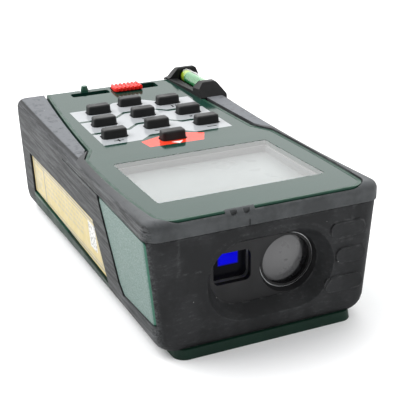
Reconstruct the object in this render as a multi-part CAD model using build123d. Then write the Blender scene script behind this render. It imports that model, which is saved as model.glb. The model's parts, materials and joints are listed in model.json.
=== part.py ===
from build123d import *
import math
import os

# Hand-held laser distance meter lying on its back, display up.
# Millimetres. +Z up, +Y towards the keypad end, the optics look along -Y.

os.makedirs("parts", exist_ok=True)

# ---- overall body -------------------------------------------------------
HALF_LENGTH = 52.0
FRONT_FACE_Y = -51.4          # optics face, set back from the lip above it
CORNER_RADIUS = 3.4
WAIST = 0.25                  # how far the long sides are drawn in at their middle
TOP_MID_Z = 31.3              # the top is slightly hollow along its length
TOP_END_Z = 32.6
TOTAL_HEIGHT = 36.0           # top of the spirit level's lugs
PARTING_Z = 28.5              # joint line between the two rubber mouldings
SPLIT_Z = 6.2                 # joint line between the two plastic shells
FOOT_Z = 2.2                  # lower edge of the rubber
CREASE_Z = 5.2                # soft edge across the optics face
FOOT_FRONT_HALF = 22.0        # the base below the rubber
FOOT_REAR_HALF = 25.2
FOOT_REAR_Y = 51.4
FOOT_RADIUS = 3.0
FOOT_TAPER = 10.0
# outline of the sides by height: (height, front half width, rear half width, front y, rear y)
LEVELS = [
    (FOOT_Z, 24.2, 27.4, -50.8, 51.2),
    (2.8, 24.9, 27.8, -51.05, 51.5),
    (3.7, 25.5, 28.0, -51.25, 51.75),
    (CREASE_Z, 25.9, 28.2, FRONT_FACE_Y, HALF_LENGTH),
    (PARTING_Z, 28.0, 29.0, FRONT_FACE_Y, HALF_LENGTH),
]
RUBBER = 1.6
WALL = 2.0
PANEL = 1.6
RUBBER_PROUD = 0.4
TOP_EDGE_RADIUS = 2.0
SKIN = RUBBER + WALL
BIG = 80.0
TOP_CUT = (20.0, 45.0)        # height range of cuts through the top

TOP_RISE = TOP_END_Z - TOP_MID_Z
TOP_RADIUS = (HALF_LENGTH ** 2 + TOP_RISE ** 2) / (2.0 * TOP_RISE)

# ---- face panel and keypad ----------------------------------------------
PANEL_REAR_Y = 51.2
PANEL_FRONT_Y = -50.5
RIM = 0.8                     # green edge of the shell round the panel
JOG_RISE = 0.225              # shift of the outline's side steps along Y as it grows
GRIP_GROOVE = (0.9, 1.3)      # width and depth of the groove between rim and grips
LIP_GROOVE = (0.25, 0.9)      # the same beside the front lip
WINDOW_HALF = 20.5
WINDOW_Y = (-40.0, -11.0)
FRAME_HALF = 22.7             # frame under the panel that carries the display
FRAME_Y = (-42.0, -7.9)
FRAME_WALL = 1.1
LCD_HALF = 21.4
LCD_Y = (-40.8, -8.8)
KEY_WIDTH = 6.6
KEY_LENGTH = 3.6              # along Y
KEY_HEIGHT = 2.3              # above the panel
KEY_DEPTH = 4.6               # below it, down to the flange
KEY_GAP = 0.25
KEY_TRAVEL = 0.8
KEY_FLANGE = 0.45
DOME_TOP_Z = 24.9             # snap domes under the keys
KEY_NIB_Z = DOME_TOP_Z + KEY_TRAVEL + 0.2
ROW_PITCH = 10.5
MEASURE_ROW_Y = -0.5          # front of the key nearest the display
SIDE_ROW_Y = 7.5
MID_ROW_Y = 10.6
COLUMN_X = (13.1, 12.3, 10.4)  # side columns, first row to third

# ---- optics ---------------------------------------------------------------
RECESS_X, RECESS_Z = 1.0, 15.7
RECESS_HALF_STRAIGHT = 5.85   # half distance between the centres of the round ends
RECESS_OUTER_R = 9.6
RECESS_INNER_R = 7.3
RECESS_FLOOR_Y = -47.6
LENS_X, LENS_Z = 7.2, 15.8
LENS_R = 6.5
LASER_X, LASER_Z = -6.8, 17.4
BEZEL_Y = (-47.6, -46.3)
BRACKET_Y = (-46.2, -42.0)
BRACKET_Z = (7.6, 25.0)

# ---- power ----------------------------------------------------------------
CELL_R = 5.25
CELL_BODY = 43.5
CELL_NUB = 1.0
CELL_PITCH = 10.8
CELL_Z = 8.0
BAY_Y = (-2.9, 45.2)
BAY_HALF = 21.7
COVER_HALF = 22.2
COVER_Y = (-3.7, 46.3)
COVER_LIP = 21.4              # half width of the part that enters the bay
COVER_GAP = 0.3
TRIPOD_Y = -11.0
TRIPOD_R = 2.55               # minor radius of a 1/4 inch thread

# ---- positioning pin and its latch ------------------------------------------
PIN_X = -8.0
PIN_R = 1.15
PIN_AXIS_Y, PIN_AXIS_Z = 50.7, 3.4
PIN_TIP_Z = 34.0
PIN_CLEARANCE = 0.2
KNUCKLE_R = 1.3
KNUCKLE_HALF = 1.6
AXLE_R = 0.7
AXLE_HALF = 4.3
RUNNING = 0.05
LATCH_X = (-0.2, 8.5)         # thumb piece
LATCH_Y = (44.8, 49.6)
LATCH_TRAVEL = 4.5
STRAP_BAR_Y, STRAP_BAR_Z = 47.4, 30.0

# ---- spirit level -------------------------------------------------------------
VIAL_X, VIAL_Z = 24.6, 33.3
VIAL_R = 2.4
VIAL_Y = (32.4, 50.3)
CHANNEL_HALF = 3.1            # open channel the vial lies in, between the lugs
CHANNEL_Y = (34.2, 49.2)
CHANNEL_Z = 31.6
REAR_LUG_Y = 49.4


def top_z(y):
    """Height of the panel surface at a distance y along the body."""
    return TOP_MID_Z + TOP_RADIUS - math.sqrt(TOP_RADIUS ** 2 - y ** 2)


def box(x0, x1, y0, y1, z0, z1):
    return Pos((x0 + x1) / 2, (y0 + y1) / 2, (z0 + z1) / 2) * Box(x1 - x0, y1 - y0, z1 - z0)


def rod_x(x0, x1, y, z, r):
    return Pos((x0 + x1) / 2, y, z) * Rot(0, 90, 0) * Cylinder(r, x1 - x0)


def rod_y(x, y0, y1, z, r):
    return Pos(x, (y0 + y1) / 2, z) * Rot(90, 0, 0) * Cylinder(r, y1 - y0)


def rod_z(x, y, z0, z1, r):
    return Pos(x, y, (z0 + z1) / 2) * Cylinder(r, z1 - z0)


def prism_y(face, y0, y1):
    """Extrude a face drawn in (x, z) from y0 to y1."""
    return Pos(0, y0, 0) * extrude(Plane.XZ * face, -(y1 - y0))


def slab(face, z0, z1):
    return extrude(Pos(0, 0, z0) * face, z1 - z0)


def rounded_box(x0, x1, y0, y1, z0, z1, r):
    face = Pos((x0 + x1) / 2, (y0 + y1) / 2, 0) * RectangleRounded(x1 - x0, y1 - y0, r)
    return slab(face, z0, z1)


def one(shape):
    """The single largest solid of a result."""
    return max(shape.solids(), key=lambda s: s.volume)


def mirror_x(shape):
    return mirror(shape, about=Plane.YZ)


def arc_slab(low, high):
    """Space between two offsets of the hollow top surface."""
    over = HALF_LENGTH + 2.0

    def edge(offset):
        ends = top_z(over) + offset
        return ThreePointArc((-over, ends), (0, TOP_MID_Z + offset), (over, ends))
    lower, upper = edge(low), edge(high)
    sides = [Line(lower @ 0, upper @ 0), Line(lower @ 1, upper @ 1)]
    return extrude(Plane.YZ * make_face([lower, sides[1], upper, sides[0]]), BIG, both=True)


def outline(front_half, rear_half, front_y, rear_y, radius, waist=WAIST):
    """Plan outline of the body at one height, with rounded corners."""
    middle = ((front_half + rear_half) / 2 - waist, (front_y + rear_y) / 2)
    right = ThreePointArc((front_half, front_y), middle, (rear_half, rear_y))
    left = mirror(right, about=Plane.YZ)
    face = make_face([right, Line(right @ 1, left @ 1), left, Line(left @ 0, right @ 0)])
    return fillet(face.vertices(), radius)


def envelope(inset, drop):
    """Body volume above the base, moved in by inset at the sides and by drop at the top."""
    radius = max(CORNER_RADIUS - inset, 0.4)
    rings = [Pos(0, 0, z) * outline(front - inset, rear - inset, y0 + inset, y1 - inset, radius)
             for z, front, rear, y0, y1 in LEVELS]
    lower = loft(rings, ruled=True)
    z, front, rear, _, _ = LEVELS[-1]
    length = HALF_LENGTH - inset
    upper = slab(outline(front - inset, rear - inset, -length, length, radius), z, 50)
    return (lower + upper) & arc_slab(-60, -drop)


def panel_face(grow=0.0):
    """Plan outline of the face panel: wide round the display, narrow at the keys."""
    rise = JOG_RISE * grow
    front_y, rear_y = PANEL_FRONT_Y - grow, PANEL_REAR_Y + grow
    front = (23.6 + grow, front_y)
    display = ThreePointArc(front, (25.05 + grow, -28.0), (24.8 + grow, -5.2 + rise))
    keys = ThreePointArc((21.9 + grow, 0.9 + rise), (20.7 + grow, 24.0), (18.6 + grow, rear_y))
    jog = Line(display @ 1, keys @ 0)
    half = [Line((0, front_y), front), display, jog, keys, Line(keys @ 1, (0, rear_y))]
    other = [mirror(edge, about=Plane.YZ) for edge in half]
    face = make_face(half + other)
    corners = face.vertices().filter_by(lambda v: abs(v.Y - front_y) < 0.01 and abs(v.X) > 1)
    face = fillet(corners, 3.6 + grow)
    jogs = face.vertices().filter_by(lambda v: -6 < v.Y < 2 and abs(v.X) > 20)
    return fillet(jogs, 1.0)


def stadium(r, y0, y1, r_end=None):
    """Flat-sided round slot through the optics face, tapering from r to r_end."""
    large = Plane.XZ * (Pos(RECESS_X, RECESS_Z) * SlotOverall(2 * (RECESS_HALF_STRAIGHT + r), 2 * r))
    if r_end is None:
        return extrude(Pos(0, y0, 0) * large, -(y1 - y0))
    small = Plane.XZ * (Pos(RECESS_X, RECESS_Z)
                        * SlotOverall(2 * (RECESS_HALF_STRAIGHT + r_end), 2 * r_end))
    return loft([Pos(0, y0, 0) * large.face(), Pos(0, y1, 0) * small.face()], ruled=True)


def side_prism(points):
    """Prism through the whole width from an outline of (y, z) points."""
    return extrude(Plane.YZ * make_face(Polyline(points, close=True)), BIG, both=True)


parts = {}

outer = envelope(0.0, -RUBBER_PROUD)
top_face = outer.faces().sort_by(lambda f: f.center().Z)[-1]
outer = fillet(top_face.edges(), TOP_EDGE_RADIUS)
foot = outline(FOOT_FRONT_HALF, FOOT_REAR_HALF, -HALF_LENGTH, FOOT_REAR_Y, FOOT_RADIUS, 0.05)
foot = extrude(foot, FOOT_Z, taper=FOOT_TAPER)
core = envelope(RUBBER, PANEL)
hollow = envelope(SKIN, PANEL + WALL)
left_half = box(-BIG, 0, -BIG, BIG, -1, BIG)
right_half = box(0, BIG, -BIG, BIG, -1, BIG)

panel_plan = panel_face()
panel_prism = slab(panel_plan, *TOP_CUT)
rim_prism = slab(panel_face(RIM), *TOP_CUT)

# ---- key layout: name -> (x, front face) ------------------------------------------
keys = {"measure_key": (0.0, MEASURE_ROW_Y)}
for row, column in enumerate(COLUMN_X):
    shift = row * ROW_PITCH
    keys[f"key_left_{row + 1}"] = (-column, SIDE_ROW_Y + shift)
    keys[f"key_middle_{row + 1}"] = (0.0, MID_ROW_Y + shift)
    keys[f"key_right_{row + 1}"] = (column, SIDE_ROW_Y + shift)


def key_plan(x, y, grow):
    plan = RectangleRounded(KEY_WIDTH + 2 * grow, KEY_LENGTH + 2 * grow, 0.9 + grow)
    return Pos(x, y + KEY_LENGTH / 2) * plan


key_holes = Part() + [slab(key_plan(x, y, KEY_GAP), *TOP_CUT) for x, y in keys.values()]

# ---- openings in the top, behind the keys ------------------------------------
strap_slot = rounded_box(-13.0, -1.4, 45.8, 49.0, 27.6, 45, 0.8)
latch_end = LATCH_X[1] + LATCH_TRAVEL
latch_slot = rounded_box(LATCH_X[0] - 0.2, latch_end + 1.0, 45.8, 50.3, 26, 45, 0.8)
latch_pocket = box(-1.0, latch_end + 2.0, 44.4, 51.0, 26.3, 28.8)
catch_slot = box(-6.6, -0.9, 49.3, 50.9, 26.5, 28.1)
groove_half = PIN_R + PIN_CLEARANCE
pin_groove = box(PIN_X - groove_half, PIN_X + groove_half, PIN_AXIS_Y - groove_half, 60, 1.4, 45)
knuckle_half = KNUCKLE_HALF + PIN_CLEARANCE
knuckle_y = PIN_AXIS_Y - KNUCKLE_R - PIN_CLEARANCE
pin_groove += box(PIN_X - knuckle_half, PIN_X + knuckle_half, knuckle_y, 60, 1.4, SPLIT_Z)
window_hole = rounded_box(-WINDOW_HALF, WINDOW_HALF, *WINDOW_Y, *TOP_CUT, 0.8)

# ---- side windows in the rubber: label and textured insert -----------------------
label_zone = side_prism([(41.0, 7.2), (41.0, 19.2), (-14.2, 19.6), (-20.4, 5.2)])
label_gap = side_prism([(41.0, -1.0), (41.0, 19.2), (-14.2, 19.6), (-20.4, 5.2), (-21.6, -1.0)])
insert_points = [(-21.0, 28.0), (-49.6, 28.0), (-49.6, 8.6), (-31.2, 7.2), (-28.9, 9.4)]
insert_face = make_face(Polyline(insert_points, close=True))
insert_zone = extrude(Plane.YZ * fillet(insert_face.vertices(), 0.8), BIG, both=True)
insert_gap = extrude(Plane.YZ * offset(insert_face, 0.35), BIG, both=True)

# ---- rubber mouldings -------------------------------------------------------------
rear_green = box(-19.5, 19.5, 46, 60, -1, 45)
rim_top = slab(panel_face(RIM + GRIP_GROOVE[0]), *TOP_CUT) & arc_slab(-GRIP_GROOVE[1], 10)
lip_top = slab(panel_face(RIM + LIP_GROOVE[0]), *TOP_CUT) & arc_slab(-LIP_GROOVE[1], 10)
notch_zone = box(LASER_X - 3.4, LASER_X + 3.4, -60, -50.75, 30.4, 45)
rim_prism -= notch_zone
skin = outer - core - rim_prism - rear_green
groove = (outer - envelope(0.45, -2.0)) & box(-BIG, BIG, -BIG, 6.0, PARTING_Z - 0.15, PARTING_Z + 0.2)
upper = (skin & box(-BIG, BIG, -BIG, BIG, PARTING_Z, 45)) - groove
lower = (skin & box(-BIG, BIG, -BIG, BIG, FOOT_Z, PARTING_Z)) - groove

grip_plan = make_face(Polyline((17, 7.7), (31, -8.3), (31, 60), (17, 60), close=True))
grip_prism = slab(grip_plan, *TOP_CUT)
upper -= lip_top - notch_zone
for grip in (grip_prism, mirror_x(grip_prism)):
    upper -= rim_top & grip
vial_plan = make_face(Polyline((17, 28.6), (31, 28.6), (31, 60), (17, 60), close=True))
vial_prism = slab(vial_plan, *TOP_CUT)
right_side = upper & right_half
left_side = upper & left_half
parts["right_grip"] = one((right_side & grip_prism) - vial_prism)
parts["left_grip"] = one(left_side & mirror_x(grip_prism))

front_lip = upper - grip_prism - mirror_x(grip_prism)
for x in (LASER_X - 1.5, LASER_X + 1.5):
    sight = rod_y(x, -60, -51.15, 32.1, 0.75) + box(x - 0.75, x + 0.75, -60, -51.15, 32.1, 40)
    front_lip -= sight
front_lip -= box(LASER_X + 1.8, LASER_X + 2.2, -60, -51.8, 28.5, 30.2)
parts["upper_bumper"] = one(front_lip)

funnel = stadium(RECESS_OUTER_R + 1.1, FRONT_FACE_Y + 0.2, RECESS_FLOOR_Y)
lower = (lower - label_gap - insert_gap) + funnel
lower -= stadium(RECESS_OUTER_R + 0.12, FRONT_FACE_Y - 0.2, RECESS_FLOOR_Y + 0.2, RECESS_INNER_R - 0.12)
for x0, x1, z in ((15.3, 24.0, 23.0), (16.9, 24.3, 16.6), (14.3, 24.0, 9.8)):
    pad = Pos((x0 + x1) / 2, z) * RectangleRounded(x1 - x0, 3.6, 1.5)
    lower += prism_y(pad, FRONT_FACE_Y - 0.4, FRONT_FACE_Y + 0.3)
lower -= stadium(RECESS_OUTER_R + 0.12, FRONT_FACE_Y - 0.8, FRONT_FACE_Y - 0.05)
parts["lower_bumper"] = one(lower)

# ---- plastic shells ---------------------------------------------------------------
rubber_zone = (outer - core - rear_green - label_gap) & box(-BIG, BIG, -BIG, BIG, FOOT_Z, 45)
body = ((outer & arc_slab(-60, -PANEL)) + foot) - rubber_zone
body += (envelope(1.1, PANEL) & label_zone) - hollow
insert_rim = (envelope(0.5, PANEL) & insert_gap) - insert_zone - core
body += insert_rim
body -= (envelope(-0.5, -2.0) - envelope(1.1, -2.0)) & label_zone

pin_block = box(PIN_X - 3.6, PIN_X + 3.6, 46.6, 51.5, 0.5, 28.5)
shells = body - hollow
shells += pin_block
rim_ring = ((rim_prism - panel_prism) & arc_slab(-PANEL - 0.5, 0.05)) & box(-BIG, BIG, -60, 52, *TOP_CUT)
shells += rim_ring & outer
shells -= stadium(RECESS_OUTER_R + 1.2, -60, -40)
openings = [strap_slot, latch_slot, latch_pocket, catch_slot, pin_groove, key_holes]
for tool in openings:
    shells -= tool
frame_hole = FRAME_HALF + 0.2
shells -= rounded_box(-frame_hole, frame_hole, FRAME_Y[0] - 0.2, FRAME_Y[1] + 0.2, 24, 45, 1.0)

strap_bar = rod_x(-13.6, -0.9, STRAP_BAR_Y, STRAP_BAR_Z, 0.7)
for x in (-11.6, -8.6, -5.6, -2.8):
    strap_bar += rod_x(x - 0.7, x + 0.7, STRAP_BAR_Y, STRAP_BAR_Z, 1.0)

screw_xy = [(sx * x, y) for sx in (-1, 1) for x, y in ((18.3, -43.5), (18.8, -9.0), (15.8, 48.8))]
bosses = Part() + [rod_z(x, y, FOOT_Z - 0.2, 14.0, 2.6) for x, y in screw_xy]
for x, y in screw_xy:
    reach = math.copysign(8.0, x)
    bosses += box(min(x, x + reach), max(x, x + reach), y - 0.7, y + 0.7, FOOT_Z, 14.0)
bosses &= envelope(RUBBER + 0.6, PANEL) + foot

top_zone = box(-BIG, BIG, -BIG, BIG, SPLIT_Z, 60)
bottom_zone = box(-BIG, BIG, -BIG, BIG, -1, SPLIT_Z)
top_shell = (shells & top_zone) + (bosses & top_zone) + strap_bar
for x, y in screw_xy:
    top_shell -= rod_z(x, y, SPLIT_Z - 1, 12.5, 1.0)
top_shell -= pin_groove
parts["top_shell"] = one(top_shell)

bottom_shell = (shells & bottom_zone) + (bosses & bottom_zone)
bottom_shell += rod_z(0, TRIPOD_Y, 0.5, SPLIT_Z, 6.4)
for x0, x1 in ((-13.0, -9.5), (9.5, 13.0)):
    bottom_shell += box(x0, x1, -45.4, -42.6, 1.5, BRACKET_Z[0])
bottom_shell += box(-BAY_HALF - 1.1, BAY_HALF + 1.1, BAY_Y[0] - 2.2, BAY_Y[0] - 1.2, 1.5, SPLIT_Z)
bottom_shell -= rod_z(0, TRIPOD_Y, -1, 10, 4.5)
recess = COVER_HALF + COVER_GAP
bottom_shell -= box(-recess, recess, COVER_Y[0] - COVER_GAP, COVER_Y[1] + COVER_GAP, -1, 1.3)
bottom_shell -= box(-BAY_HALF, BAY_HALF, *BAY_Y, -1, 2.6)
bottom_shell -= pin_groove
bottom_shell -= rod_x(PIN_X - AXLE_HALF, PIN_X + AXLE_HALF, PIN_AXIS_Y, PIN_AXIS_Z, AXLE_R)
for x, y in screw_xy:
    bottom_shell -= rod_z(x, y, -1, 2.0, 2.05)
    bottom_shell -= rod_z(x, y, -1, 10, 1.05)
parts["bottom_shell"] = one(bottom_shell)

# ---- side inserts and label ---------------------------------------------------------
insert_skin = (envelope(0.3, PANEL) - core) & insert_zone & box(-BIG, BIG, -BIG, BIG, 0, PARTING_Z - 0.1)
parts["left_insert"] = one(insert_skin & left_half)
parts["right_insert"] = one(insert_skin & right_half)
label_face = side_prism([(40.6, 7.7), (40.6, 18.8), (-13.8, 19.2), (-19.4, 5.7)])
label_skin = (envelope(0.55, PANEL) - envelope(1.1, PANEL)) & label_face & left_half
parts["side_label"] = one(label_skin)

# ---- face panel, window, display --------------------------------------------------
panel = panel_prism & arc_slab(-PANEL, 0)
for tool in (key_holes, strap_slot, latch_slot, window_hole, pin_groove):
    panel -= tool
parts["face_panel"] = one(panel)

window = rounded_box(-WINDOW_HALF, WINDOW_HALF, *WINDOW_Y, *TOP_CUT, 0.8) & arc_slab(-1.25, -0.05)
parts["display_window"] = one(window)

frame_outer = rounded_box(-FRAME_HALF, FRAME_HALF, *FRAME_Y, 26.6, 45, 0.8) & arc_slab(-60, -PANEL)
frame_inner = rounded_box(-20.4, 20.4, -39.9, -11.1, 26.6, 45, 0.8) & arc_slab(-60, -1.25)
frame = frame_outer + frame_inner
frame -= rounded_box(-19.9, 19.9, -39.4, -11.6, *TOP_CUT, 0.6)
frame_inside = FRAME_HALF - FRAME_WALL
frame -= box(-frame_inside, frame_inside, LCD_Y[0] - 0.2, LCD_Y[1] + 0.2, 20, 28.5)
parts["display_frame"] = one(frame)
parts["lcd_glass"] = box(-LCD_HALF, LCD_HALF, *LCD_Y, 27.0, 28.5)
zebra = box(-18.0, 18.0, -11.0, -9.0, 24.0, 27.0)
parts["display_connector"] = zebra

# ---- board, mat, buzzer ------------------------------------------------------------
board = rounded_box(-21.4, 21.4, -12.0, 45.6, 22.4, 24.0, 1.5)
parts["main_board"] = board
mat = rounded_box(-18.6, 18.6, -6.0, 39.6, 24.0, 24.4, 1.5)
for x, y in keys.values():
    dome = Cone(2.8, 2.0, DOME_TOP_Z - 24.4, align=(Align.CENTER, Align.CENTER, Align.MIN))
    mat += Pos(x, y + KEY_LENGTH / 2, 24.4) * dome
parts["key_mat"] = mat
chips = [box(-6, 6, 4, 16, 20.9, 22.4), box(-16, -10, 6, 13, 21.1, 22.4), box(8, 14, -8, 0, 20.6, 22.4)]
parts["board_chips"] = Compound(children=[c.solid() for c in chips])
parts["buzzer"] = rod_z(12.0, 36.0, 18.6, 22.4, 6.0) - rod_z(12.0, 36.0, 18.0, 19.4, 1.2)

# ---- keys ---------------------------------------------------------------------------
for name, (x, y) in keys.items():
    surface = top_z(y)
    stem = slab(key_plan(x, y, 0), surface - KEY_DEPTH, surface)
    cap = extrude(Pos(0, 0, surface - 0.2) * key_plan(x, y, 0), KEY_HEIGHT + 0.2, taper=4)
    cap = fillet(cap.faces().sort_by(Axis.Z)[-1].edges(), 0.5)
    flange_z = surface - KEY_DEPTH
    flange = slab(key_plan(x, y, KEY_FLANGE + KEY_GAP), flange_z - 0.35, flange_z + 0.55)
    nib = rod_z(x, y + KEY_LENGTH / 2, KEY_NIB_Z, flange_z + 0.1, 1.4)
    parts[name] = one(stem + cap + flange + nib)

# ---- positioning pin, axle, latch ---------------------------------------------------
pin = rod_z(PIN_X, PIN_AXIS_Y, PIN_AXIS_Z, PIN_TIP_Z, PIN_R)
pin = chamfer(pin.edges().sort_by(Axis.Z)[-1], 1.1, 0.3)
pin += rod_x(PIN_X - KNUCKLE_HALF, PIN_X + KNUCKLE_HALF, PIN_AXIS_Y, PIN_AXIS_Z, KNUCKLE_R)
pin -= rod_x(PIN_X - 3, PIN_X + 3, PIN_AXIS_Y, PIN_AXIS_Z, AXLE_R + RUNNING)
parts["positioning_pin"] = one(pin)
parts["pin_axle"] = rod_x(PIN_X - AXLE_HALF, PIN_X + AXLE_HALF, PIN_AXIS_Y, PIN_AXIS_Z, AXLE_R)

latch_z = top_z(48.0)
latch = rounded_box(*LATCH_X, *LATCH_Y, latch_z + 0.2, latch_z + 1.0, 0.6)
for i in range(7):
    x = 0.4 + i * 1.25
    latch += rod_y(x, *LATCH_Y, latch_z + 0.95, 0.42)
    latch += rod_z(x, LATCH_Y[0] + 0.05, latch_z + 0.2, latch_z + 0.95, 0.42)
latch += box(0.5, 8.3, 46.3, 49.9, latch_z - 4.5, latch_z + 0.5)
latch += box(-0.4, 9.2, 45.0, 50.6, latch_z - 5.4, latch_z - 4.3)
latch += box(-6.5, 0.5, 49.6, 50.6, latch_z - 5.4, latch_z - 4.5)
parts["pin_latch"] = one(latch)

# ---- spirit level ---------------------------------------------------------------------
lug_side = make_face(Polyline((28.6, 28.0), (28.6, 32.0), (31.0, TOTAL_HEIGHT), (33.8, TOTAL_HEIGHT),
                              (34.0, 33.0), (49.4, 33.0), (49.6, TOTAL_HEIGHT), (51.6, TOTAL_HEIGHT),
                              (52.0, 35.0), (52.0, 28.0), close=True))
crests = lug_side.vertices().filter_by(lambda v: v.Y > 34.0)
lug_side = fillet(crests, 0.7)


def lug_profile(crest_x, shoulder_x):
    """Outline of a lug seen along the body, from its inner slope to its outer shoulder."""
    face = make_face(Polyline((18.0, 28.0), (18.0, 32.9), (19.4, 33.4), (21.9, TOTAL_HEIGHT),
                              (crest_x, TOTAL_HEIGHT), (shoulder_x, 33.2), (29.2, 31.6), (29.2, 28.0),
                              close=True))
    return fillet(face.vertices().filter_by(lambda v: v.Y > 35.0), 1.0)


lugs = prism_y(lug_profile(26.1, 28.1), 20, REAR_LUG_Y) + prism_y(lug_profile(27.8, 28.9), REAR_LUG_Y, 60)
vial_block = extrude(Plane.YZ * lug_side, BIG, both=True) & lugs
block_plan = envelope(0.0, -10.0) - core - panel_prism - (rim_prism & arc_slab(-60, 0.05))
vial_block &= block_plan & vial_prism & box(0, BIG, -BIG, BIG, PARTING_Z, 60)
vial_block -= rear_green & arc_slab(-60, -PANEL)
vial_block -= rod_y(VIAL_X, *VIAL_Y, VIAL_Z, VIAL_R)
vial_block -= box(VIAL_X - CHANNEL_HALF, VIAL_X + CHANNEL_HALF, *CHANNEL_Y, CHANNEL_Z, 45)
parts["vial_block"] = one(vial_block)
tube = rod_y(VIAL_X, *VIAL_Y, VIAL_Z, VIAL_R)
bore = rod_y(VIAL_X, VIAL_Y[0] + 0.8, VIAL_Y[1] - 0.8, VIAL_Z, VIAL_R - 0.5)
parts["vial_tube"] = tube - bore
vial_mid = (VIAL_Y[0] + VIAL_Y[1]) / 2
bubble = rod_y(VIAL_X, vial_mid - 1.5, vial_mid + 1.5, VIAL_Z + 0.95, 0.8)
parts["vial_liquid"] = bore - bubble

# ---- optics ---------------------------------------------------------------------------
bezel = stadium(RECESS_INNER_R + 1.3, *BEZEL_Y)
lens_cone = Cone(LENS_R + 0.1, LENS_R + 0.8, 1.5)
bezel -= Pos(LENS_X, -46.95, LENS_Z) * Rot(90, 0, 0) * lens_cone
laser_hole = Pos(LASER_X, LASER_Z) * RectangleRounded(9.0, 7.4, 1.4)
bezel -= prism_y(laser_hole, -50, -44)
parts["optics_bezel"] = one(bezel)

bracket = box(-13.6, 15.0, *BRACKET_Y, *BRACKET_Z)
bracket += box(-5.4, -2.4, -42.5, -12.6, 9.2, 12.0)
bracket += box(-5.4, 12.4, -15.0, -12.6, 9.2, 22.0)
bracket -= rod_y(LENS_X, -47, -43.4, LENS_Z, LENS_R)
bracket -= rod_y(LENS_X, -47, -41, LENS_Z, 5.7)
bracket -= prism_y(laser_hole, -47, -44.4)
bracket -= rod_y(LASER_X, -47, -41, LASER_Z, 3.0)
bracket -= rod_y(LENS_X, -16, -12, LENS_Z, 2.8)
parts["optics_bracket"] = one(bracket)

dome_r = 26.0
dome = Pos(LENS_X, -46.1 + dome_r, LENS_Z) * Rot(90, 0, 0) * Sphere(dome_r)
lens = rod_y(LENS_X, -46.1, -43.4, LENS_Z, LENS_R) & dome
parts["receiver_lens"] = one(lens)
ring = rod_y(LENS_X, -46.3, -45.3, LENS_Z, LENS_R) - rod_y(LENS_X, -47, -45, LENS_Z, LENS_R - 0.55)
parts["lens_ring"] = one(ring - dome)

barrel_out = Pos(LENS_X, -28.5, LENS_Z) * Rot(-90, 0, 0) * Cone(7.2, 4.2, 27.0)
barrel_in = Pos(LENS_X, -28.5, LENS_Z) * Rot(-90, 0, 0) * Cone(6.2, 3.2, 27.1)
parts["receiver_barrel"] = barrel_out - barrel_in
parts["receiver_filter"] = rod_y(LENS_X, -16.6, -15.6, LENS_Z, 3.1)
parts["photodiode"] = rod_y(LENS_X, -15.0, -11.4, LENS_Z, 2.8) + rod_y(LENS_X, -12.5, -11.6, LENS_Z, 3.4)
parts["laser_window"] = prism_y(Pos(LASER_X, LASER_Z) * RectangleRounded(8.9, 7.3, 1.3), -45.2, -44.4)
parts["laser_collimator"] = rod_y(LASER_X, -44.2, -35.0, LASER_Z, 3.0)
laser_diode = rod_y(LASER_X, -35.0, -32.6, LASER_Z, 2.8)
for dx in (-1.0, 1.0):
    laser_diode += rod_y(LASER_X + dx, -32.7, -28.5, LASER_Z, 0.25)
parts["laser_diode"] = laser_diode

# ---- power ------------------------------------------------------------------------------
tray = box(-BAY_HALF - 0.9, BAY_HALF + 0.9, BAY_Y[0] - 1.1, BAY_Y[1] + 1.1, 3.0, 14.6)
tray -= box(-BAY_HALF, BAY_HALF, *BAY_Y, 2.0, 13.5)
parts["battery_tray"] = one(tray & envelope(SKIN + 0.1, PANEL + WALL))

springs = []
for i in range(4):
    x = (i - 1.5) * CELL_PITCH
    nub_rear = i % 2 == 0
    y0 = BAY_Y[1] - 0.4 - CELL_BODY - CELL_NUB if nub_rear else BAY_Y[0] + 0.4 + CELL_NUB
    cell = rod_y(x, y0, y0 + CELL_BODY, CELL_Z, CELL_R)
    cell = fillet(cell.edges(), 0.4)
    nub_y = (y0 + CELL_BODY - 0.1, y0 + CELL_BODY + CELL_NUB) if nub_rear else (y0 - CELL_NUB, y0 + 0.1)
    parts[f"battery_{i + 1}"] = one(cell + rod_y(x, *nub_y, CELL_Z, 1.9))
    coil_y = BAY_Y[0] + 0.35 if nub_rear else y0 + CELL_BODY
    coil_length = y0 - coil_y if nub_rear else BAY_Y[1] - 0.35 - coil_y
    wire = 0.25
    helix = Helix(pitch=(coil_length - 2 * wire) / 3, height=coil_length - 2 * wire, radius=2.4)
    profile = Plane(helix @ 0, z_dir=helix % 0) * Circle(wire)
    coil = sweep(profile, path=helix)
    springs.append((Pos(x, coil_y + wire, CELL_Z) * Rot(-90, 0, 0) * coil).solid())
parts["battery_springs"] = Compound(children=springs)

plates = [box(-20.6, -11.8, BAY_Y[0], BAY_Y[0] + 0.35, 4.0, 12.0),
          box(-9.8, 9.8, BAY_Y[0], BAY_Y[0] + 0.35, 4.0, 12.0),
          box(11.8, 20.6, BAY_Y[0], BAY_Y[0] + 0.35, 4.0, 12.0),
          box(-20.6, -1.0, BAY_Y[1] - 0.35, BAY_Y[1], 4.0, 12.0),
          box(1.0, 20.6, BAY_Y[1] - 0.35, BAY_Y[1], 4.0, 12.0)]
parts["battery_contacts"] = Compound(children=[p.solid() for p in plates])

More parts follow.
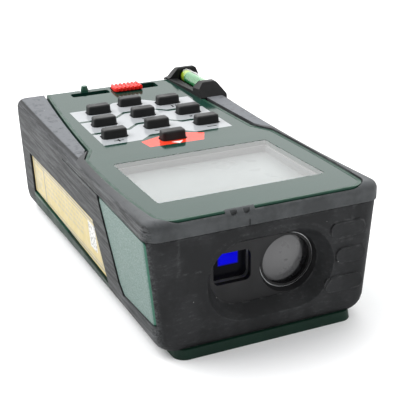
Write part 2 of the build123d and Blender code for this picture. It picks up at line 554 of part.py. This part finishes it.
cover = rounded_box(-COVER_HALF, COVER_HALF, *COVER_Y, 0.3, 1.2, 1.0)
cover += rounded_box(-COVER_LIP, COVER_LIP, BAY_Y[0] + COVER_GAP, BAY_Y[1] - COVER_GAP, 1.1, 2.1, 1.0)
cover -= box(-5.3, 5.3, 40.0, 47, 0, 1.3)
cover -= box(-6.4, 6.4, 39.6, 44.3, 1.2, 3.0)
cover -= box(-5.3, 5.3, 44.2, 47, 1.2, 3.0)
parts["battery_cover"] = one(cover)
tab = box(-5.0, 5.0, 41.5, 46.4, 0.35, 1.1) + box(-5.0, 5.0, 41.5, 44.0, 0.35, 1.4)
tab += box(-6.1, 6.1, 41.2, 44.0, 1.35, 2.1)
for i in range(4):
    tab -= box(-4.0, 4.0, 42.2 + i, 42.6 + i, 0, 0.6)
parts["cover_latch"] = one(tab)

insert = rod_z(0, TRIPOD_Y, 0.25, SPLIT_Z, 4.5) - rod_z(0, TRIPOD_Y, -1, SPLIT_Z - 1.0, TRIPOD_R)
parts["tripod_insert"] = one(insert)

screws = []
for x, y in screw_xy:
    head = rod_z(x, y, 0.4, 1.95, 1.9) - box(x - 1.2, x + 1.2, y - 0.2, y + 0.2, 0, 1.0)
    head -= box(x - 0.2, x + 0.2, y - 1.2, y + 1.2, 0, 1.0)
    screws.append((head + rod_z(x, y, 1.9, 12.0, 1.0)).solid())
parts["housing_screws"] = Compound(children=screws)

for name, shape in parts.items():
    export_step(shape, f"parts/{name}.step")
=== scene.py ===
import bpy
import json
import math
from mathutils import Matrix, Vector


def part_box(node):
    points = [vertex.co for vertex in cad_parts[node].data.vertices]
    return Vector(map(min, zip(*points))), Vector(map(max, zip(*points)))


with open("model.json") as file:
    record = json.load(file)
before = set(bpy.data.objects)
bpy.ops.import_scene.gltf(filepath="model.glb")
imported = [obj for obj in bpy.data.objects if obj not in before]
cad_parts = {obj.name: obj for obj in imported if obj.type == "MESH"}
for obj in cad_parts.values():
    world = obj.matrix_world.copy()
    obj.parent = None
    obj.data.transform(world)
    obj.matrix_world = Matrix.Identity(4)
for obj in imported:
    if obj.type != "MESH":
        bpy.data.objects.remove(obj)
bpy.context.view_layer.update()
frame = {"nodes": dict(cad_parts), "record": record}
nodes = frame["nodes"]
MM = 0.001
PRINT_EDGE = 0.06               # mm over which printed shapes fade out
VIAL_FILM = 0.04                # mm between the level's liquid and its tube
CLEAR_IOR = 1.45                # clear plastic and glass
RUBBER_ROUGHNESS = 0.55

# the viewpoint: mm in the shared frame, degrees, and the lens for a 36 mm wide sensor
CAMERA_PLACE = (-86.238, -211.819, 108.084)
CAMERA_AZIMUTH, CAMERA_ELEVATION, CAMERA_ROLL = 22.87, 22.31, -1.35
CAMERA_LENS = 84.517
CAMERA_SHIFT = (0.0319, 0.0008)


# ---- camera, light and floor --------------------------------------------------

def make_camera():
    """The photograph's viewpoint: low on the left of the optics face, looking up the keypad."""
    data = bpy.data.cameras.new("camera")
    data.sensor_width = 36.0
    data.lens = CAMERA_LENS
    data.shift_x, data.shift_y = CAMERA_SHIFT
    data.clip_start = 0.01
    camera = bpy.data.objects.new("camera", data)
    bpy.context.scene.collection.objects.link(camera)
    azimuth, elevation = math.radians(CAMERA_AZIMUTH), math.radians(CAMERA_ELEVATION)
    roll = math.radians(CAMERA_ROLL)
    forward = Vector((math.sin(azimuth) * math.cos(elevation), math.cos(azimuth) * math.cos(elevation),
                      -math.sin(elevation)))
    turn = forward.to_track_quat("-Z", "Y").to_matrix() @ Matrix.Rotation(roll, 3, "Z")
    camera.matrix_world = Matrix.Translation(Vector(CAMERA_PLACE) * MM) @ turn.to_4x4()
    bpy.context.scene.camera = camera


def make_light(name, place, target, size, power, colour=(1.0, 1.0, 1.0)):
    data = bpy.data.lights.new(name, "AREA")
    data.shape = "RECTANGLE"
    data.size, data.size_y = size
    data.energy = power
    data.color = colour
    light = bpy.data.objects.new(name, data)
    bpy.context.scene.collection.objects.link(light)
    aim = (Vector(target) - Vector(place)).to_track_quat("-Z", "Y")
    light.matrix_world = Matrix.Translation(place) @ aim.to_matrix().to_4x4()


def make_floor():
    mesh = bpy.data.meshes.new("floor")
    half = 2.0
    mesh.from_pydata([(-half, -half, 0), (half, -half, 0), (half, half, 0), (-half, half, 0)], [],
                     [(0, 1, 2, 3)])
    floor = bpy.data.objects.new("floor", mesh)
    bpy.context.scene.collection.objects.link(floor)
    material = bpy.data.materials.new("floor")
    material.use_nodes = True
    shader = material.node_tree.nodes["Principled BSDF"]
    shader.inputs["Base Color"].default_value = (0.93, 0.935, 0.94, 1)
    shader.inputs["Roughness"].default_value = 0.6
    mesh.materials.append(material)


def make_world():
    """White surround, much brighter behind the keypad end than on the camera's side."""
    world = bpy.data.worlds.new("studio")
    world.use_nodes = True
    tree = world.node_tree
    direction = tree.nodes.new("ShaderNodeTexCoord").outputs["Generated"]
    split = tree.nodes.new("ShaderNodeSeparateXYZ")
    tree.links.new(direction, split.inputs[0])
    strength = tree.nodes.new("ShaderNodeMapRange")
    strength.interpolation_type = "SMOOTHSTEP"
    tree.links.new(split.outputs["Y"], strength.inputs["Value"])
    for name, value in (("From Min", -0.45), ("From Max", 0.75), ("To Min", 0.42), ("To Max", 2.3)):
        strength.inputs[name].default_value = value
    background = tree.nodes["Background"]
    background.inputs["Color"].default_value = (1.0, 1.0, 1.0, 1)
    tree.links.new(strength.outputs["Result"], background.inputs["Strength"])
    bpy.context.scene.world = world
    bpy.context.scene.view_settings.view_transform = "Standard"


make_camera()
make_world()
make_floor()
make_light("key_light", (-0.5, 0.35, 0.75), (0, 0, 0.02), (0.7, 0.7), 7.0)
make_light("fill_light", (0.6, -0.5, 0.7), (0, 0, 0.02), (0.8, 0.8), 4.0)


# ---- procedural materials --------------------------------------------------------

class Finish:
    """One procedural material, built from node calls that read like formulas. Lengths are in mm."""

    def __init__(self, name, colour, roughness, **sockets):
        self.material = bpy.data.materials.new(name)
        self.material.use_nodes = True
        self.tree = self.material.node_tree
        self.shader = self.tree.nodes["Principled BSDF"]
        self.set("Base Color", colour)
        self.set("Roughness", roughness)
        for key, value in sockets.items():
            self.set(key.replace("_", " "), value)
        coords = self.add("ShaderNodeTexCoord").outputs["Object"]
        scale = self.add("ShaderNodeVectorMath", operation="SCALE")
        scale.inputs["Scale"].default_value = 1.0 / MM
        self.tree.links.new(coords, scale.inputs[0])
        self.place = scale.outputs[0]
        self.normal = None

    def add(self, kind, **settings):
        node = self.tree.nodes.new(kind)
        for key, value in settings.items():
            setattr(node, key, value)
        return node

    def put(self, value, socket):
        if isinstance(value, bpy.types.NodeSocket):
            self.tree.links.new(value, socket)
        elif isinstance(value, tuple) and len(value) == 3 and len(socket.default_value) == 4:
            socket.default_value = (*value, 1.0)
        else:
            socket.default_value = value

    def set(self, name, value):
        self.put(value, self.shader.inputs[name])

    def stretch(self, x, y, z):
        node = self.add("ShaderNodeVectorMath", operation="MULTIPLY")
        self.put(self.place, node.inputs[0])
        node.inputs[1].default_value = (x, y, z)
        return node.outputs[0]

    def noise(self, size, detail=3.0, roughness=0.6, place=None):
        node = self.add("ShaderNodeTexNoise")
        self.put(place or self.place, node.inputs["Vector"])
        node.inputs["Scale"].default_value = 1.0 / size
        node.inputs["Detail"].default_value = detail
        node.inputs["Roughness"].default_value = roughness
        return node.outputs["Fac"]

    def cells(self, size, feature="F1"):
        node = self.add("ShaderNodeTexVoronoi", feature=feature)
        self.put(self.place, node.inputs["Vector"])
        node.inputs["Scale"].default_value = 1.0 / size
        return node

    def ramp(self, value, low, high, to_low=0.0, to_high=1.0):
        node = self.add("ShaderNodeMapRange", interpolation_type="SMOOTHSTEP")
        self.put(value, node.inputs["Value"])
        for name, number in (("From Min", low), ("From Max", high), ("To Min", to_low), ("To Max", to_high)):
            self.put(number, node.inputs[name])
        return node.outputs["Result"]

    def linear(self, value, low, high, to_low, to_high):
        """Straight-line map held at its end values."""
        node = self.add("ShaderNodeMapRange", interpolation_type="LINEAR", clamp=True)
        for socket, number in zip(node.inputs, (value, low, high, to_low, to_high)):
            self.put(number, socket)
        return node.outputs["Result"]

    def maths(self, operation, a, b=0.0):
        node = self.add("ShaderNodeMath", operation=operation)
        self.put(a, node.inputs[0])
        self.put(b, node.inputs[1])
        return node.outputs[0]

    def mix(self, factor, a, b):
        node = self.add("ShaderNodeMix", data_type="RGBA")
        self.put(factor, node.inputs["Factor"])
        self.put(a, node.inputs[6])
        self.put(b, node.inputs[7])
        return node.outputs[2]

    def axis(self, index, place=None):
        node = self.add("ShaderNodeSeparateXYZ")
        self.put(place or self.place, node.inputs[0])
        return node.outputs[index]

    def facing(self, index):
        """Component of the surface direction along one axis, without its sign."""
        direction = self.add("ShaderNodeTexCoord").outputs["Normal"]
        return self.maths("ABSOLUTE", self.axis(index, direction))

    def both(self, *masks):
        joined = masks[0]
        for mask in masks[1:]:
            joined = self.maths("MULTIPLY", joined, mask)
        return joined

    def patch(self, x, y, middle, half, soft=PRINT_EDGE):
        """1 inside a rectangle given by its middle and half sizes."""
        sides = []
        for value, centre, reach in zip((x, y), middle, half):
            away = self.maths("ABSOLUTE", self.maths("SUBTRACT", value, centre))
            sides.append(self.maths("SUBTRACT", reach, away))
        return self.ramp(self.maths("MINIMUM", *sides), 0.0, soft)

    def polygon(self, x, y, corners):
        """1 inside a convex outline whose corners run anticlockwise."""
        inside = None
        for (x0, y0), (x1, y1) in zip(corners, corners[1:] + corners[:1]):
            length = math.hypot(x1 - x0, y1 - y0)
            rise = self.maths("MULTIPLY", self.maths("SUBTRACT", y, y0), (x1 - x0) / length)
            run = self.maths("MULTIPLY", self.maths("SUBTRACT", x, x0), (y1 - y0) / length)
            distance = self.maths("SUBTRACT", rise, run)
            inside = self.maths("MINIMUM", inside, distance) if inside else distance
        return self.ramp(inside, 0.0, PRINT_EDGE)

    def bump(self, height, depth, strength=1.0):
        """Adds relief of the given depth in mm."""
        node = self.add("ShaderNodeBump")
        node.inputs["Strength"].default_value = strength
        node.inputs["Distance"].default_value = depth * MM
        self.put(height, node.inputs["Height"])
        if self.normal:
            self.put(self.normal, node.inputs["Normal"])
        self.normal = node.outputs["Normal"]
        self.set("Normal", self.normal)

    def rounded(self, radius):
        """Softens sharp moulded edges by a radius in mm."""
        node = self.add("ShaderNodeBevel", samples=4)
        node.inputs["Radius"].default_value = radius * MM
        self.normal = node.outputs["Normal"]
        self.set("Normal", self.normal)

    def edges(self, radius):
        """1 along outside edges within a radius in mm, 0 on flat areas."""
        bevel = self.add("ShaderNodeBevel", samples=6)
        bevel.inputs["Radius"].default_value = radius * MM
        flat = self.add("ShaderNodeNewGeometry").outputs["Normal"]
        dot = self.add("ShaderNodeVectorMath", operation="DOT_PRODUCT")
        self.put(bevel.outputs["Normal"], dot.inputs[0])
        self.put(flat, dot.inputs[1])
        return self.ramp(dot.outputs["Value"], 0.99, 0.80)


def moulded(name, colour, roughness=0.45, grain=0.12, depth=0.01, spread=0.12, edge=0.15, **sockets):
    """Plain moulded plastic: fine spark texture, slight colour drift, softened edges."""
    f = Finish(name, colour, roughness, **sockets)
    f.rounded(edge)
    drift = f.noise(9.0, 4.0)
    dark = tuple(c * (1 - spread) for c in colour)
    light = tuple(min(1.0, c * (1 + spread)) for c in colour)
    f.set("Base Color", f.mix(f.ramp(drift, 0.3, 0.7), dark, light))
    smear = f.noise(4.0, 5.0)
    f.set("Roughness", f.ramp(smear, 0.25, 0.75, max(roughness - 0.08, 0.02), roughness + 0.1))
    f.bump(f.noise(grain, 2.0), depth)
    return f


def worn_rubber(name, front, side, top_sheen, lip_sheen=None, top_from=0.93):
    """Rubber in greys by direction: tops lighter with a painted sheen, sides streaked lengthwise, a scuffed
    dark front.
    """
    f = Finish(name, front, RUBBER_ROUGHNESS, Specular_IOR_Level=0.28, IOR=1.28)
    f.rounded(0.25)
    along = f.axis(1)
    # painted sheen: towards the front the rubber lip's top and rounded edge take the lighter lip colour
    if lip_sheen:
        top_sheen = f.mix(f.ramp(along, -46.0, -12.0), lip_sheen, top_sheen)
    outside = f.ramp(f.maths("ABSOLUTE", f.axis(0)), 21.0, 23.5)
    on_side = f.both(f.ramp(f.facing(0), 0.45, 0.85), outside)
    # top faces take the lighter top colour: a painted sheen from the bright surround
    on_top = f.ramp(f.facing(2), top_from, 0.992)
    patches = f.ramp(f.noise(9.0, 6.0, 0.65), 0.40, 0.66)
    long_place = f.stretch(1.0, 0.045, 1.0)
    streaks = f.ramp(f.noise(0.75, 6.0, 0.8, long_place), 0.38, 0.66)
    dark_lines = f.ramp(f.noise(0.9, 4.0, 0.7, f.stretch(1.0, 0.03, 1.0)), 0.56, 0.66)
    scuffs = f.both(patches, f.ramp(f.noise(0.7, 6.0, 0.8, f.stretch(0.35, 0.5, 1.0)), 0.50, 0.72))
    pale = tuple(min(1.0, c * 1.9 + 0.02) for c in side)
    deep = tuple(c * 0.45 for c in side)
    side_body = f.mix(streaks, deep, pale)
    side_body = f.mix(f.maths("MULTIPLY", dark_lines, 0.75), side_body, front)
    grain = f.noise(0.30, 4.0, 0.7)
    body = f.mix(patches, front, tuple(c * 1.5 for c in front))
    body = f.mix(f.maths("MULTIPLY", scuffs, 0.30), body, (0.12, 0.125, 0.13))
    body = f.mix(on_side, body, side_body)
    # worn patches let the front colour through the painted top sheen
    top_sheen_body = f.mix(f.maths("MULTIPLY", f.ramp(f.noise(2.2, 6.0, 0.75), 0.50, 0.30), 0.6), top_sheen, front)
    body = f.mix(on_top, body, top_sheen_body)
    rim = f.both(f.edges(0.8), f.ramp(f.noise(1.8, 6.0, 0.7), 0.44, 0.66))
    body = f.mix(f.maths("MULTIPLY", rim, 0.18), body, (0.30, 0.305, 0.31))
    dust = f.ramp(f.cells(2.6).outputs["Distance"], 0.055, 0.035)
    chance = f.ramp(f.noise(2.3, 1.0), 0.52, 0.60)
    body = f.mix(f.maths("MULTIPLY", f.both(dust, chance), 0.7), body, (0.55, 0.55, 0.54))
    f.set("Base Color", body)
    f.set("Roughness", f.ramp(scuffs, 0.0, 1.0, RUBBER_ROUGHNESS, RUBBER_ROUGHNESS + 0.2))
    f.bump(grain, 0.03, 0.7)
    f.bump(f.both(streaks, on_side), 0.03, 0.6)
    return f


finishes = {}
# each top colour is lighter than its front colour as a painted sheen
finishes["rubber_black"] = worn_rubber("rubber_black", (0.018, 0.0185, 0.0195), (0.036, 0.038, 0.040),
                                       (0.06, 0.062, 0.065))
# the lip's front and lip colours are raised as a painted sheen on its broad rounded edge
finishes["rubber_lip"] = worn_rubber("rubber_lip", (0.050, 0.053, 0.055), (0.042, 0.044, 0.046),
                                     (0.06, 0.062, 0.065), lip_sheen=(0.085, 0.090, 0.094), top_from=0.4)
finishes["rubber_grip"] = worn_rubber("rubber_grip", (0.018, 0.019, 0.020), (0.038, 0.040, 0.043),
                                      (0.14, 0.148, 0.16))


BAR, STEM, DOT = (1.4, 0.25), (0.25, 0.9), (0.45, 0.4)
KEY_MARKS = {
    "key_left_1": [((0.0, 0.0), BAR), ((0.0, 0.0), STEM)],
    "key_right_1": [((0.0, 0.0), BAR)],
    "key_middle_1": [((-0.6, 0.0), BAR), ((1.7, 0.0), DOT)],
    "key_left_2": [((0.0, 0.0), DOT)],
    "key_right_2": [((-0.7, 0.0), DOT), ((1.0, 0.0), DOT)],
    "key_middle_2": [((0.0, 0.5), BAR), ((0.0, -0.5), BAR)],
    "key_left_3": [((0.0, 0.0), (0.8, 0.6))],
    "key_right_3": [((0.0, 0.0), STEM), ((1.2, 0.0), STEM)],
    "key_middle_3": [((0.0, 0.0), DOT), ((1.4, 0.0), BAR)],
}


def panel_finish():
    """Glossy dark green film with pale printed zones linking the keys, a red arrow and plain marks."""
    f = Finish("panel_grey_green", (0.01, 0.06, 0.036), 0.1, Specular_IOR_Level=0.5, IOR=1.23)
    x, y = f.axis(0), f.axis(1)
    grain = f.noise(0.22, 2.0)
    body = f.mix(f.noise(14.0, 5.0), (0.005, 0.030, 0.021), (0.008, 0.040, 0.029))
    body = f.mix(f.maths("MULTIPLY", f.ramp(grain, 0.55, 0.75), 0.3), body, (0.02, 0.06, 0.048))
    hairs = f.ramp(f.noise(0.5, 6.0, 0.8, f.stretch(0.08, 1.0, 1.0)), 0.66, 0.74)
    body = f.mix(f.maths("MULTIPLY", hairs, 0.2), body, (0.20, 0.25, 0.24))

    key_low = {name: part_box(name)[0] / MM for name in KEY_MARKS}
    pitch = key_low["key_left_2"].y - key_low["key_left_1"].y
    side_front, middle_front = key_low["key_left_1"].y, key_low["key_middle_1"].y
    off_axis = f.maths("ABSOLUTE", x)
    start = f.linear(off_axis, 4.2, 7.6, middle_front - 3.6, side_front - 3.6)
    height = f.maths("SUBTRACT", y, start)
    row = f.maths("FLOORED_MODULO", height, pitch)
    zone = f.both(f.ramp(height, 0.0, 0.06), f.ramp(height, 3 * pitch - 1.6, 3 * pitch - 1.66),
                  f.ramp(row, pitch - 1.3, pitch - 1.36), f.ramp(off_axis, 18.0, 17.94))
    body = f.mix(zone, body, f.mix(grain, (0.30, 0.315, 0.33), (0.37, 0.385, 0.40)))
    arrow = [(-8.5, 1.8), (-7.9, -3.1), (6.7, -3.6), (9.1, 1.6), (4.4, 4.0), (-2.8, 4.0)]
    body = f.mix(f.polygon(x, y, arrow), body, (0.72, 0.045, 0.018))
    ink = None
    for name, marks in KEY_MARKS.items():
        key_x = (key_low[name].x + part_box(name)[1].x / MM) / 2
        for (px, py), half in marks:
            mark = f.patch(x, y, (key_x + px, key_low[name].y - 1.3 + py), half)
            ink = f.maths("MAXIMUM", ink, mark) if ink else mark
    body = f.mix(ink, body, (0.01, 0.01, 0.01))
    arrow_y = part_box("measure_key")[0].y / MM - 1.4
    pointer = [(0.0, arrow_y - 1.0), (1.7, arrow_y + 0.9), (-1.7, arrow_y + 0.9)]
    body = f.mix(f.polygon(x, y, pointer), body, (0.80, 0.80, 0.78))
    f.set("Base Color", body)
    f.set("Roughness", f.ramp(f.noise(6.0, 5.0), 0.3, 0.7, 0.07, 0.13))
    f.bump(grain, 0.0015, 0.6)
    return f


def insert_finish():
    """Coarse sparkle texture of the side inserts."""
    f = Finish("insert_green", (0.11, 0.18, 0.16), 0.45, Specular_IOR_Level=0.35)
    grain = f.noise(0.30, 3.0, 0.7)
    body = f.mix(f.ramp(grain, 0.30, 0.72), (0.060, 0.114, 0.100), (0.138, 0.200, 0.182))
    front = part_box("left_insert")[0].y / MM
    edge = f.ramp(f.axis(1), front + 0.75, front + 0.6)
    f.set("Base Color", f.mix(edge, body, (0.01, 0.10, 0.06)))
    f.set("Roughness", f.ramp(grain, 0.3, 0.7, 0.55, 0.36))
    f.bump(grain, 0.05, 0.8)
    return f


def label_finish():
    """Rating label without words: ruled borders, rows of plain bars and a white dotted patch."""
    low, high = (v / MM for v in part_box("side_label"))
    f = Finish("label_yellow", (0.64, 0.51, 0.25), 0.4, Specular_IOR_Level=0.4)
    y, z = f.axis(1), f.axis(2)
    slant = 5.6 / (high.z - low.z)
    lean = f.maths("MULTIPLY", f.maths("SUBTRACT", z, low.z), slant)
    front = f.maths("SUBTRACT", f.maths("SUBTRACT", y, low.y), lean)
    inside = f.maths("MINIMUM", f.maths("SUBTRACT", high.z, z), f.maths("SUBTRACT", z, low.z))
    inside = f.maths("MINIMUM", inside, f.maths("SUBTRACT", high.y, y))
    inside = f.maths("MINIMUM", inside, front)
    outer_line = f.both(f.ramp(inside, 0.95, 1.0), f.ramp(inside, 1.55, 1.5))
    inner_line = f.both(f.ramp(inside, 2.0, 2.05), f.ramp(inside, 2.35, 2.3))
    divider = f.patch(y, z, (high.y - 10.5, (low.z + high.z) / 2), (0.5, 5.0))
    lines = f.maths("MAXIMUM", f.maths("MAXIMUM", outer_line, inner_line), divider)
    flat = f.add("ShaderNodeCombineXYZ")
    f.put(y, flat.inputs[0])
    f.put(z, flat.inputs[1])
    bricks = f.add("ShaderNodeTexBrick", offset=0.37, squash=0.7, squash_frequency=3)
    f.put(flat.outputs[0], bricks.inputs["Vector"])
    for name, value in (("Scale", 1.0), ("Mortar Size", 0.36), ("Brick Width", 3.2), ("Row Height", 1.5),
                        ("Mortar Smooth", 0.0)):
        bricks.inputs[name].default_value = value
    text = f.ramp(bricks.outputs["Fac"], 0.6, 0.4)
    text = f.both(text, f.patch(y, z, (13.0, 13.2), (16.5, 2.9)))
    emblem = f.both(f.patch(y, z, (high.y - 5.6, 12.6), (2.8, 3.2)), f.ramp(f.noise(0.9, 2.0), 0.46, 0.52))
    text = f.maths("MAXIMUM", text, emblem)
    paper = f.mix(f.noise(7.0, 5.0), (0.45, 0.365, 0.155), (0.53, 0.435, 0.20))
    body = f.mix(f.maths("MULTIPLY", lines, 0.9), paper, (0.20, 0.20, 0.19))
    body = f.mix(f.maths("MULTIPLY", text, 0.7), body, (0.34, 0.31, 0.22))
    white = f.patch(y, z, (-10.6, 13.6), (2.6, 3.6))
    dots = f.ramp(f.noise(0.8, 1.0), 0.52, 0.56)
    body = f.mix(white, body, f.mix(f.maths("MULTIPLY", dots, 0.6), (0.60, 0.60, 0.59), (0.08, 0.08, 0.08)))
    f.set("Base Color", body)
    f.set("Roughness", f.ramp(f.noise(3.0, 4.0), 0.3, 0.7, 0.34, 0.5))
    f.bump(f.noise(0.5, 3.0), 0.01, 0.5)
    return f


finishes["shell_green"] = moulded("shell_green", (0.004, 0.040, 0.023), 0.4, grain=0.2, depth=0.006,
                                 Specular_IOR_Level=0.22)
finishes["panel_grey_green"] = panel_finish()
finishes["insert_green"] = insert_finish()
finishes["label_yellow"] = label_finish()
finishes["key_black"] = moulded("key_black", (0.010, 0.011, 0.0115), 0.5, edge=0.3, Specular_IOR_Level=0.3)
# the foot is a darker copy of the shell green: painted shade for its place in the shadow under the body
finishes["bottom_shell"] = moulded("foot_green_painted_shade", (0.003, 0.020, 0.012), 0.5, Specular_IOR_Level=0.2)
finishes["vial_block"] = moulded("vial_block", (0.007, 0.0075, 0.008), 0.5, Specular_IOR_Level=0.2)
finishes["frame_grey"] = moulded("frame_grey", (0.17, 0.17, 0.168), 0.5, spread=0.04,
                                Specular_IOR_Level=0.3)
finishes["latch_red"] = moulded("latch_red", (0.86, 0.018, 0.010), 0.4, spread=0.04, edge=0.2,
                                Specular_IOR_Level=0.25)
finishes["pin_green"] = moulded("pin_green", (0.008, 0.075, 0.042), 0.4)
finishes["bezel_black"] = moulded("bezel_black", (0.008, 0.008, 0.009), 0.45, Specular_IOR_Level=0.3)
finishes["inner_black"] = moulded("inner_black", (0.005, 0.005, 0.005), 0.6, Specular_IOR_Level=0.2)
finishes["silicone_mat"] = moulded("silicone_mat", (0.30, 0.31, 0.32), 0.6)
finishes["chip_black"] = moulded("chip_black", (0.015, 0.015, 0.016), 0.5)
finishes["connector_pink"] = moulded("connector_pink", (0.55, 0.42, 0.42), 0.6)


def metal(name, colour, roughness, stretch, grain=0.25):
    """Drawn or turned metal with fine lines along or around the part."""
    f = Finish(name, colour, roughness, Metallic=1.0)
    lines = f.noise(grain, 4.0, 0.7, f.stretch(*stretch))
    dark = tuple(c * 0.8 for c in colour)
    f.set("Base Color", f.mix(lines, dark, colour))
    f.set("Roughness", f.ramp(lines, 0.3, 0.7, roughness, roughness + 0.15))
    f.bump(lines, 0.006, 0.6)
    return f


finishes["steel"] = metal("steel", (0.60, 0.60, 0.61), 0.28, (1.0, 0.2, 1.0))
finishes["brass"] = metal("brass", (0.78, 0.56, 0.25), 0.25, (1.0, 1.0, 0.15))
finishes["cast_aluminium"] = metal("cast_aluminium", (0.58, 0.59, 0.60), 0.45, (1.0, 1.0, 1.0), 0.6)


def board_finish():
    """Green solder mask over copper tracks."""
    f = Finish("board_green", (0.02, 0.18, 0.07), 0.35)
    tracks = f.cells(2.2, feature="DISTANCE_TO_EDGE").outputs["Distance"]
    f.set("Base Color", f.mix(f.ramp(tracks, 0.06, 0.03), (0.012, 0.12, 0.05), (0.05, 0.26, 0.10)))
    f.set("Roughness", f.ramp(f.noise(2.0), 0.3, 0.7, 0.28, 0.4))
    f.bump(f.ramp(tracks, 0.06, 0.03), 0.03)
    return f


def cell_finish():
    """Foil-wrapped cell: dark wrap with a copper-coloured band at one end."""
    f = Finish("cell_wrap", (0.03, 0.032, 0.035), 0.25, Coat_Weight=0.5)
    y = f.axis(1)
    band = f.ramp(y, 30.0, 30.1)
    f.set("Base Color", f.mix(band, f.mix(f.noise(5.0), (0.02, 0.02, 0.022), (0.05, 0.05, 0.055)),
                              (0.55, 0.26, 0.08)))
    f.set("Roughness", f.ramp(f.noise(1.5), 0.3, 0.7, 0.2, 0.34))
    f.bump(f.noise(0.4, 3.0), 0.01, 0.5)
    return f


def lcd_finish():
    """Reflective display glass: silvery grey polariser with a faint cell grid."""
    f = Finish("lcd_grey", (0.21, 0.215, 0.21), 0.3, Specular_IOR_Level=0.2)
    grid = f.noise(0.3, 2.0)
    f.set("Base Color", f.mix(grid, (0.198, 0.200, 0.196), (0.212, 0.214, 0.210)))
    f.set("Roughness", f.ramp(f.noise(8.0), 0.3, 0.7, 0.26, 0.36))
    f.bump(grid, 0.0004, 0.3)
    return f


def clear_finish(name, tint, gloss_roughness=0.04):
    """Thin clear plastic or glass: what is behind shows through, with a mirror sheen on top."""
    f = Finish(name, (1.0, 1.0, 1.0), gloss_roughness)
    smear = f.noise(5.0, 5.0, 0.65)
    f.set("Roughness", f.ramp(smear, 0.35, 0.75, gloss_roughness, gloss_roughness + 0.08))
    f.bump(f.noise(7.0, 2.0), 0.003, 0.3)
    f.set("Metallic", 1.0)
    clear = f.add("ShaderNodeBsdfTransparent")
    clear.inputs["Color"].default_value = (*tint, 1.0)
    fresnel = f.add("ShaderNodeFresnel")
    fresnel.inputs["IOR"].default_value = CLEAR_IOR
    behind = f.add("ShaderNodeNewGeometry").outputs["Backfacing"]
    sheen = f.both(fresnel.outputs[0], f.maths("SUBTRACT", 1.0, behind))
    blend = f.add("ShaderNodeMixShader")
    f.put(sheen, blend.inputs[0])
    f.put(clear.outputs[0], blend.inputs[1])
    f.put(f.shader.outputs[0], blend.inputs[2])
    out = f.tree.nodes["Material Output"]
    f.put(blend.outputs[0], out.inputs["Surface"])
    return f


def lens_finish():
    """Coated receiving lens: a flat grey haze with a dark crescent where the barrel shows."""
    low, high = (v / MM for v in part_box("receiver_lens"))
    f = Finish("lens_glass", (0.10, 0.10, 0.103), 0.25, Coat_Weight=0.6, Coat_Roughness=0.05)
    cloud = f.noise(4.0, 3.0)
    x = f.maths("SUBTRACT", f.axis(0), (low.x + high.x) / 2 - 1.3)
    z = f.maths("SUBTRACT", f.axis(2), (low.z + high.z) / 2 + 0.5)
    reach = f.maths("SQRT", f.maths("ADD", f.maths("MULTIPLY", x, x), f.maths("MULTIPLY", z, z)))
    grey = f.mix(cloud, (0.080, 0.080, 0.083), (0.10, 0.10, 0.103))
    f.set("Base Color", f.mix(f.ramp(reach, 5.4, 5.9), grey, (0.006, 0.006, 0.007)))
    f.set("Roughness", f.ramp(cloud, 0.3, 0.7, 0.25, 0.35))
    f.bump(cloud, 0.002, 0.2)
    return f


def laser_finish():
    """Laser outlet window: black gloss with a blue coated patch over the beam."""
    low, high = (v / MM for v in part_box("laser_window"))
    f = Finish("laser_glass", (0.004, 0.004, 0.006), 0.12, Specular_IOR_Level=0.04)
    middle = (low + high) / 2
    patch = f.patch(f.axis(0), f.axis(2), (middle.x + 0.1, middle.z + 1.4), (2.6, 1.9), 0.5)
    glow = f.noise(2.0, 2.0)
    blue = f.mix(glow, (0.0, 0.0, 0.85), (0.0, 0.0, 1.0))
    f.set("Base Color", f.mix(patch, (0.004, 0.004, 0.006), blue))
    f.set("Roughness", f.ramp(glow, 0.3, 0.7, 0.10, 0.18))
    f.bump(glow, 0.002, 0.2)
    return f


def liquid_finish():
    """Fluorescent level liquid with two index rings and a yellow plug at the keypad end."""
    low, high = (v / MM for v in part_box("vial_liquid"))
    f = Finish("vial_fluid", (0.10, 0.55, 0.20), 0.15, Transmission_Weight=0.2, IOR=1.33)
    y = f.axis(1)
    middle = (high.y + low.y) / 2
    off = f.maths("ABSOLUTE", f.maths("SUBTRACT", y, middle))
    green = f.mix(f.noise(1.6, 4.0), (0.004, 0.17, 0.05), (0.05, 0.36, 0.14))
    rings = f.both(f.ramp(off, 2.25, 2.3), f.ramp(off, 2.55, 2.5))
    body = f.mix(rings, green, (0.01, 0.05, 0.02))
    body = f.mix(f.ramp(y, high.y - 2.6, high.y - 2.3), body, (0.50, 0.58, 0.05))
    f.set("Base Color", body)
    f.set("Roughness", f.ramp(f.noise(2.0), 0.3, 0.7, 0.08, 0.16))
    f.bump(f.noise(1.5), 0.002, 0.2)
    return f


finishes["board_green"] = board_finish()
finishes["cell_wrap"] = cell_finish()
finishes["lcd_grey"] = lcd_finish()
finishes["window_clear"] = clear_finish("window_clear", (0.95, 0.97, 0.97))
finishes["vial_glass"] = clear_finish("vial_glass", (0.93, 0.98, 0.92), 0.03)
finishes["lens_glass"] = lens_finish()
finishes["laser_glass"] = laser_finish()
finishes["vial_fluid"] = liquid_finish()

# the liquid fills the tube exactly: draw it in by a hair so that both surfaces render
film = nodes["vial_liquid"].modifiers.new("film", "DISPLACE")
film.strength = -VIAL_FILM * MM
film.mid_level = 0.0

finishes["upper_bumper"] = finishes["rubber_lip"]
slot_of = {part["node"]: part["material_slot"] for part in frame["record"]["subparts"]}
for name, node in nodes.items():
    finish = finishes.get(name, finishes[slot_of[name]])
    node.data.materials.clear()
    node.data.materials.append(finish.material)
